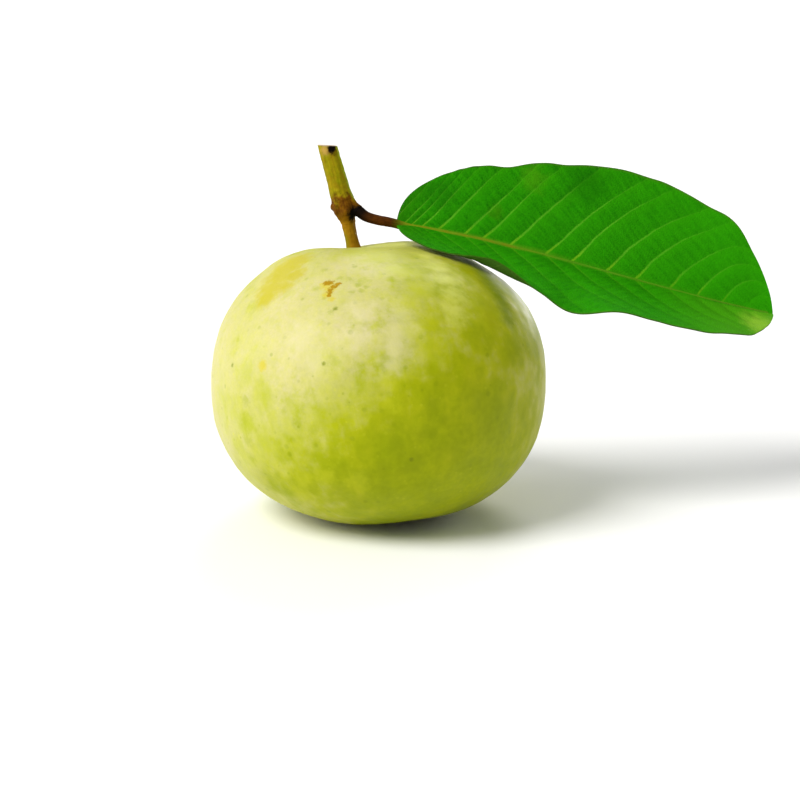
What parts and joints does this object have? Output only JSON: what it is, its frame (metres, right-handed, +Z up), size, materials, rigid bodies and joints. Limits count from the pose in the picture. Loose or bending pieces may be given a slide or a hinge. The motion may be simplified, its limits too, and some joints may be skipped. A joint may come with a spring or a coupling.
{
  "type": "guava",
  "caption": "Whole guava as picked, broad and slightly ribbed, resting on a small flat spot, with its short twig, one broad leaf folded along its midrib, and a dried calyx underneath.",
  "frame": {"origin": "Middle of the small flat spot under the fruit, on the surface that it rests on", "axes": "+Z is up, +X is the way the leaf reaches out, and +Y is the side the stalk leans to"},
  "size_m": [0.144, 0.0844, 0.0921],
  "materials": {
    "skin": "waxy, softly glossy, mottled yellow-green",
    "bark": "thin bark, olive above and brown at the joint",
    "leaf": "leathery, deep green above with pale veins, paler and duller below",
    "dried_calyx": "dry, dull brown"
  },
  "bodies": {
    "root": {"fruit": "skin", "twig": "bark", "leaf": "leaf", "calyx": "dried_calyx"}
  },
  "joints": []
}
